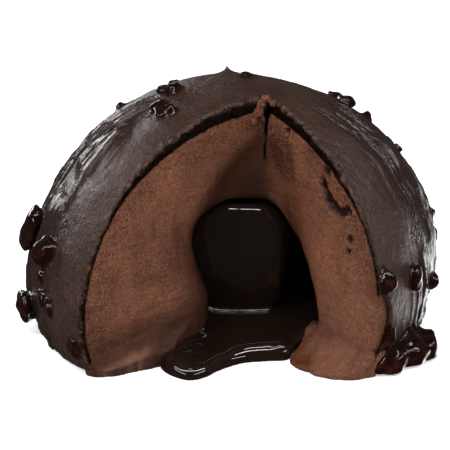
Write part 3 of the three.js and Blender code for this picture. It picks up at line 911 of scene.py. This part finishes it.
class Nodes:
    """A short way to write the node tree of a material or a world."""

    def __init__(self, owner):
        owner.use_nodes = True
        self.owner = owner
        self.tree = owner.node_tree
        self.tree.nodes.clear()

    def add(self, kind, inputs=None, **settings):
        node = self.tree.nodes.new(kind)
        for key, value in settings.items():
            setattr(node, key, value)
        for key, value in (inputs or {}).items():
            if isinstance(value, bpy.types.NodeSocket):
                self.tree.links.new(value, node.inputs[key])
            else:
                node.inputs[key].default_value = value
        return node

    def noise_at(self, where, size, detail, rough, distortion=0):
        values = where, 1 / (size * MM), detail, rough, distortion
        inputs = dict(zip(("Vector", "Scale", "Detail", "Roughness", "Distortion"), values))
        return self.add("ShaderNodeTexNoise", inputs).outputs["Fac"]

    def place(self, output="Object"):
        return self.add("ShaderNodeTexCoord").outputs[output]

    def texture(self, size, detail=3, rough=0.5, stretch=None):
        """Noise from 0 to 1 with lumps of that size in millimetres."""
        where = self.place()
        if stretch:
            where = self.add("ShaderNodeMapping", {"Vector": where, "Scale": stretch}).outputs[0]
        return self.noise_at(where, size, detail, rough)

    def maths(self, operation, *inputs, kind="ShaderNodeMath"):
        return self.add(kind, dict(enumerate(inputs)), operation=operation).outputs[0]

    def vector(self, operation, *inputs):
        return self.maths(operation, *inputs, kind="ShaderNodeVectorMath")

    def streaks(self, size, detail, rough, stretch):
        """Noise from 0 to 1 drawn out up the dome, so many times narrower than long."""
        where = self.place()
        flat = self.vector("MULTIPLY", where, (1, 1, 0))
        ring = self.vector("MULTIPLY", self.vector("NORMALIZE", flat), (DOME_RADIUS * MM,) * 3)
        course = self.vector("MULTIPLY_ADD", where, (0, 0, stretch), ring)
        return self.noise_at(course, size, detail, rough, 0.6)

    def painted(self, name):
        return self.add("ShaderNodeAttribute", attribute_name=name).outputs["Fac"]

    def ramp(self, value, start, end, low=0, high=1):
        inputs = {"Value": value, "From Min": start, "From Max": end, "To Min": low, "To Max": high}
        return self.add("ShaderNodeMapRange", inputs).outputs["Result"]

    def patches(self, size, start, end, detail=3, rough=0.5, stretch=None):
        """Noise drawn apart, so that it is 0 up to the start value and 1 from the end value on."""
        return self.ramp(self.texture(size, detail, rough, stretch), start, end)

    def blend(self, share, first, second):
        first, second = (
            tint if isinstance(tint, bpy.types.NodeSocket) else (*tint, 1)
            for tint in (first, second)
        )
        inputs = {"Factor": share, 6: first, 7: second}
        return self.add("ShaderNodeMix", inputs, data_type="RGBA").outputs[2]

    def times(self, share, strength):
        return self.maths("MULTIPLY", share, strength)

    def layer(self, below, share, strength, tint):
        """A colour laid over the one below by that share, times its strength."""
        return self.blend(self.times(share, strength), below, tint)

    def less(self, value, *places):
        """The value, less at the painted places, each given with how much less."""
        for name, amount in places:
            value = self.maths("SUBTRACT", value, self.times(self.painted(name), amount))
        return value

    def bump(self, height, depth, normal=None):
        inputs = {"Height": height, "Distance": depth * MM, "Strength": 1.0}
        if normal is not None:
            inputs["Normal"] = normal
        return self.add("ShaderNodeBump", inputs).outputs["Normal"]

    def finish(self, inputs):
        shader = self.add("ShaderNodeBsdfPrincipled", inputs)
        self.add("ShaderNodeOutputMaterial", {"Surface": shader.outputs[0]})
        return self.owner


def coating_material():
    n = Nodes(bpy.data.materials.new("dark_coating"))
    flank, cut = n.painted("flank"), n.painted("cut")
    cloud = n.patches(7, 0.35, 0.65)
    colour = n.blend(cloud, (0.033, 0.015, 0.0098), (0.05, 0.0255, 0.0185))
    speck = n.patches(0.5, 0.4, 0.62, 3, 0.7)
    colour = n.layer(colour, speck, 0.65, (0.012, 0.005, 0.003))
    toasted = n.patches(1.4, 0.5, 0.66)
    nib = n.blend(toasted, (0.006, 0.0016, 0.0009), (0.021, 0.0052, 0.0028))
    crumb = n.patches(1.1, 0.47, 0.62, 4, 0.7)
    rim = n.blend(crumb, (0.01, 0.0034, 0.0018), (0.085, 0.032, 0.018))
    # The cut band is painted shade: near black, far darker than the coating itself.
    for place, tint in (("nib", nib), ("cut", (0.003, 0.0013, 0.0008)), ("rim", rim)):
        colour = n.blend(n.painted(place), colour, tint)
    colour = n.layer(colour, flank, 0.75, (0.015, 0.009, 0.0075))
    gloss = n.ramp(n.texture(1.6, 4, 0.65), 0.3, 0.7, 0.24, 0.42)
    gloss = n.less(gloss, ("flank", 0.13), ("nib", 0.3), ("cut", 0.2))
    calm = n.maths("MAXIMUM", n.painted("nib"), n.times(flank, 0.75))
    grainy = n.maths("SUBTRACT", 1, n.times(calm, 0.95))
    grainy = n.maths("ADD", grainy, n.times(cut, 1.2))
    grain = n.bump(n.times(n.texture(0.42, 3, 0.7), grainy), 0.17)
    leather = n.bump(n.times(n.texture(1.8, 4, 0.65), grainy), 0.42, grain)
    normal = n.bump(n.times(n.streaks(2.2, 3, 0.55, 0.12), flank), 0.32, leather)
    # Painted shade: the reflection on the cut band is dimmed.
    shine = n.blend(cut, (1, 1, 1), (0.15, 0.12, 0.1))
    return n.finish({
        "Base Color": colour, "Roughness": gloss, "Normal": normal, "IOR": 1.38,
        "Specular Tint": shine,
    })


def mousse_material():
    n = Nodes(bpy.data.materials.new("milk_mousse"))
    cloud = n.patches(5, 0.38, 0.62, 5, 0.7)
    colour = n.blend(cloud, (0.076, 0.0195, 0.0048), (0.158, 0.0545, 0.024))
    smear = n.patches(1.3, 0.35, 0.65, 4, 0.6, (0.22, 0.22, 1))
    drag = n.patches(3.2, 0.56, 0.7, 4, 0.6, (1, 1, 0.35))
    dots = n.patches(0.45, 0.5, 0.62, 2, 0.6)
    dots = n.times(dots, n.maths("MULTIPLY_ADD", n.painted("porous"), 0.44, 0.15))
    layers = (
        (n.patches(0.45, 0.42, 0.58, 5, 0.85), 0.65, (0.052, 0.0145, 0.0042)),
        (n.patches(0.26, 0.5, 0.62, 3, 0.8), 0.55, (0.31, 0.135, 0.078)),
        (smear, 0.4, (0.16, 0.064, 0.034)),
        (drag, 0.6, (0.05, 0.013, 0.0038)),
        (dots, 1, (0.036, 0.011, 0.0045)),
        # Moisture near the core mixed with painted shade: in the hollow, on the low left face,
        # under the hem's lip and in the right foot's crease.
        (n.painted("moist_and_shade"), 1, (0.032, 0.008, 0.0024)),
        # Paler feet pads and skirt, with painted light on the low right face.
        (n.painted("pad"), 0.7, (0.165, 0.07, 0.044)),
        (n.painted("wet"), 1, (0.076, 0.0225, 0.008)),
        # Painted shade in the knife marks and pits of the right cut face.
        (n.painted("pit_shade"), 1, (0.011, 0.0034, 0.0018)),
        # Near black: sauce drips and staining, with painted shade in the crack and deep in the
        # hollow.
        (n.painted("stain_and_shade"), 1, (0.008, 0.004, 0.0025)),
    )
    for share, strength, tint in layers:
        colour = n.layer(colour, share, strength, tint)
    rough = n.less(0.66, ("wet", 0.42), ("pad", 0.25), ("pit_shade", 0.52))
    grain = n.bump(n.texture(0.35, 3, 0.7), 0.07)
    pits = n.bump(dots, -0.16, grain)
    brushed = n.bump(smear, 0.12, pits)
    normal = n.bump(n.texture(1.3, 4, 0.6), 0.22, brushed)
    return n.finish({
        "Base Color": colour, "Roughness": rough, "Normal": normal, "IOR": 1.3,
        "Subsurface Weight": 0.06, "Subsurface Radius": (1, 0.45, 0.25),
        "Subsurface Scale": 0.001,
    })


def molten_material():
    n = Nodes(bpy.data.materials.new("molten_chocolate"))
    cloud = n.patches(8, 0.35, 0.65, 2)
    colour = n.blend(cloud, (0.0055, 0.0028, 0.0019), (0.0085, 0.0045, 0.003))
    normal = n.bump(n.texture(4.5, 1), 0.02)
    return n.finish({"Base Color": colour, "Roughness": 0.03, "Normal": normal, "IOR": 1.5})


def floor_material():
    n = Nodes(bpy.data.materials.new("pale_floor"))
    colour = n.blend(n.texture(60, 2), (0.93, 0.93, 0.93), (0.95, 0.95, 0.95))
    return n.finish({
        "Base Color": colour, "Roughness": 0.9, "Specular IOR Level": 0.1,
        "Emission Color": (1, 1, 1, 1), "Emission Strength": 0.5,
    })


# ---------- the pieces ----------

def dress(obj, node, material):
    obj.data.materials.append(material)
    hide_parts(node)
    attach(obj, "root")


def make_coating():
    obj = mesh_piece("coating_shell", coating_field, dome_distance)
    x, y, z = mesh_points(obj)
    nib = np.zeros(len(x))
    lumps_into(np.full(len(x), 9.0), ON_SHELL + OVER_CUT, x, y, z, 0.1, True, nib)
    at_cut = ease(-0.9, -0.35, np.minimum(*cut_faces(x, y))) * (1 - nib)
    depth = -dome_distance(x, y, z)
    _, _, azimuth, rise = dome_course(x, y, z)
    flank, low = on_flanks(azimuth, rise, STREAKED)
    paint(obj, "flank", flank * low * (1 - nib))
    paint(obj, "nib", nib)
    # Painted shade: the band of the coating's cut face, made near black in the material.
    paint(obj, "cut", at_cut * ease(0, 0.4, depth))
    crumbly = 0.2 + 0.42 * ease(30, 45, z) + 0.3 * noise(x, y, z, 1.7, 36)
    paint(obj, "rim", at_cut * (1 - ease(0.02, np.maximum(crumbly, 0.03) + 0.15, depth)))
    dress(obj, "coating", coating_material())


def paint_feet(obj, x, y, z, front, on_left):
    """Paints the wet tongue and rims and the feet's pale pads, with painted light on the low right
    face, and gives the moisture and painted shade to add.
    """
    on_right = 1 - on_left
    hem, smear = HEM.distance(x, y), SMEAR.distance(x, y)
    tongue = ease(0.7, -0.7, fold_distance(x, y))
    tongue = tongue * ease(8, 11, x) * ease(5.5, 4, z)
    rim = ease(-0.7, -0.1, np.minimum(smear, hem)) * ease(3.2, 2, z)
    wet = np.maximum(0.85 * tongue, 0.4 * rim * on_right) * ease(-0.6, 0.8, front)
    paint(obj, "wet", wet)
    off_face = ease(0.6, 2.2, front)
    pad = on_left * (ease(0.1, -0.3, hem) * ease(-13.5, -16.5, x)) * off_face
    skirt = on_right * (1 - tongue) * ease(4.4, 2.6, z) * off_face
    # Painted light: the low right cut face is painted paler, where more light falls on it.
    low_right = on_right * ease(24, 12, z) * ease(-2.5, -0.5, front)
    pale = np.maximum(np.maximum(pad, 0.7 * skirt), 0.4 * low_right)
    paint(obj, "pad", pale * (0.75 + 0.3 * noise(x, y, z, 2.5, 39)))
    # Painted shade: the hem's steep front wall under its lip is painted darker.
    wall_shade = on_left * ease(-1.2, -0.1, hem) * ease(7, 4, z)
    # Painted shade in the crease where the right face meets its foot.
    crease_shade = 0.5 * on_right * (1 - tongue) * bell(z, 5.6, 1.3) * ease(-1.5, 0.2, front)
    crease_shade = crease_shade * (1 + 0.6 * noise(x, y, z, 2.2, 40))
    # Painted shade with moisture: the left face is painted darker towards its foot.
    low_left = 0.75 * on_left * ease(13, 3, z) * ease(-3, 0, front)
    return low_left * (1 - 0.9 * pad) + 0.9 * (wall_shade * ease(0.2, 1, front)) + crease_shade


def make_mousse():
    obj = mesh_piece("mousse_body", mousse_field)
    x, y, z = mesh_points(obj)
    left, right = cut_faces(x, y)
    front = np.minimum(left, right)
    on_left = ease(1, -1, left - right)
    damp_and_shade = paint_feet(obj, x, y, z, front, on_left)
    under_coating = -(dome_distance(x, y, z) + coating_thickness(z))
    patches = noise(x, y, z, 6, 28)
    sponge = (x - SPONGE[0]) ** 2 + (y - SPONGE[1]) ** 2 + ((z - SPONGE[2]) * 0.7) ** 2
    sponge = ease(5, 1.5, np.sqrt(sponge))
    porous = ease(7, 1.5, under_coating) + 0.5 * patches + 3.6 * sponge
    paint(obj, "porous", np.clip(porous, 0, 3))
    hollow = hollow_distance(x, y, z)
    # Painted shade with moisture: the mousse is painted darker near the hollow, and more on the
    # left face, where shade falls.
    near = np.exp(-np.maximum(hollow, 0) / 6) * (0.5 + 0.46 * on_left)
    paint(obj, "moist_and_shade", np.clip(near + damp_and_shade + 0.12 * patches, 0, 0.95))
    _, along_right = along_cuts(x, y)
    # Painted shade: the knife marks and bubble pits in the right cut face are painted near black.
    paint(obj, "pit_shade", ease(0.1, 0.5, (1 - on_left) * mark_depths(along_right, z)))
    # Painted shade: the crack at the slice's tip is painted near black.
    crack = ease(0.2, 0, crack_distance(x, y, z))
    # Painted shade with sauce staining: the hollow's walls behind the cut faces are painted near
    # black below a wavy level.
    inside = ease(-2, -4, front) * ease(0.9, 0.3, hollow)
    level = STAIN_AND_SHADE_LEVEL + 2.0 * noise(x, y, z, 5, 25)
    drips = ease(0.15, 0.45, noise(x, y, z, 1.3, 41)) * ease(1.8, 1, z)
    drips = drips * ease(3, 1, np.hypot(x - DRIPPED[0], y - DRIPPED[1]))
    stain_and_shade = np.maximum(inside * ease(level + 1.5, level - 1.5, z), crack)
    paint(obj, "stain_and_shade", np.maximum(stain_and_shade, drips))
    dress(obj, "mousse", mousse_material())


make_coating()
make_mousse()
dress(mesh_piece("molten_core", molten_field), "molten_centre", molten_material())


# ---------- stage, light and camera ----------

def floor():
    mesh = bpy.data.meshes.new("floor")
    corners = [(u * FLOOR_HALF, v * FLOOR_HALF, 0) for u, v in ((-1, -1), (1, -1), (1, 1), (-1, 1))]
    mesh.from_pydata(corners, [], [(0, 1, 2, 3)])
    obj = link_new("floor", mesh)
    obj.data.materials.append(floor_material())
    obj.location.z = -FLOOR_DROP
    obj.visible_glossy = False


def softbox(name, place, size, glow, along=(0, 1, 0)):
    """A rectangular lamp turned towards the part, with its length set along a way."""
    light = bpy.data.lights.new(name, "AREA")
    light.shape = "RECTANGLE"
    light.size, light.size_y = size
    light.energy = glow * math.pi * size[0] * size[1]
    obj = link_new(name, light)
    back = (Vector(place) - Vector(AIM)).normalized()
    way = (Vector(along) - back * back.dot(Vector(along))).normalized()
    obj.visible_camera = False
    obj.location = place
    obj.rotation_euler = Matrix((way, back.cross(way), back)).transposed().to_euler()
    return obj


def light_strip(name, points, width, glow):
    """A bent strip light: one lamp between each two of its points."""
    ends = []
    for turn, height, far in points:
        turn, height = math.radians(turn), math.radians(height)
        flat = far * math.cos(height)
        ends.append(Vector((flat * math.sin(turn), -flat * math.cos(turn), far * math.sin(height))))
    for i, (start, end) in enumerate(zip(ends, ends[1:])):
        length = (end - start).length
        softbox(f"{name}_{i}", (start + end) / 2, (length, width), glow, end - start)


def studio_world():
    """A dark studio with a pale table behind the part, which its flanks mirror."""
    world = bpy.data.worlds.new("studio")
    bpy.context.scene.world = world
    n = Nodes(world)
    way = n.add("ShaderNodeSeparateXYZ", {0: n.place("Generated")})
    table = 1.0
    for axis, start, full in TABLE_BOUNDS:
        table = n.times(n.ramp(way.outputs[axis], start, full), table)
    glow = n.maths("MULTIPLY_ADD", table, TABLE_GLOW, ROOM_GLOW)
    back = n.add("ShaderNodeBackground", {"Color": (1, 1, 1, 1), "Strength": glow})
    n.add("ShaderNodeOutputWorld", {"Surface": back.outputs[0]})


def light_up():
    studio_world()
    for name, (width, glow, points) in STRIPS.items():
        light_strip(name, points, width, glow)
    for name, (place, glow) in FILLS.items():
        softbox(name, place, FILL_SIZE, glow).visible_glossy = False


def place_camera():
    data = bpy.data.cameras.new("camera")
    for setting, value in CAMERA.items():
        setattr(data, setting, value)
    cam = link_new("camera", data)
    cam.location = CAMERA_PLACE
    cam.rotation_euler = (math.radians(90 - CAMERA_LOOKS_DOWN), 0, 0)
    bpy.context.scene.camera = cam


floor()
light_up()
place_camera()
bpy.context.scene.view_settings.view_transform = "Standard"
